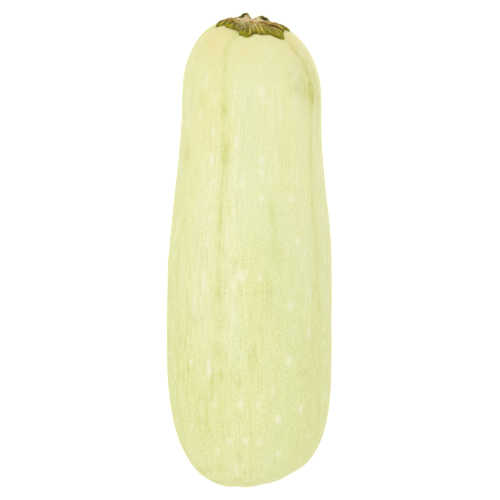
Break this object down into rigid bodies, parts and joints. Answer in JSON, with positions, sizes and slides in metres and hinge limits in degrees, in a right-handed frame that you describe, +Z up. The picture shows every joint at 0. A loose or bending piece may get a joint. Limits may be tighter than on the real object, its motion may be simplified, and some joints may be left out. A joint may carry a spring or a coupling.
{
  "type": "vegetable marrow",
  "caption": "Pale vegetable marrow with a narrow neck, a full belly, shallow furrows and a torn, star-shaped dry stalk, as picked and lying on its side.",
  "frame": {"origin": "on the ground under the middle of the marrow's bounding box", "axes": "+Z up from the surface it lies on, long axis along Y with the stalk at the +Y end, X across it"},
  "size_m": [0.0984, 0.2852, 0.099],
  "materials": {
    "fruit": "smooth waxy vegetable skin, pale cream-green with cream flecks, satin",
    "stalk": "dried ridged stem, olive outside and tan where torn, matt"
  },
  "bodies": {
    "root": {"fruit": "fruit", "stalk": "stalk"}
  },
  "joints": []
}
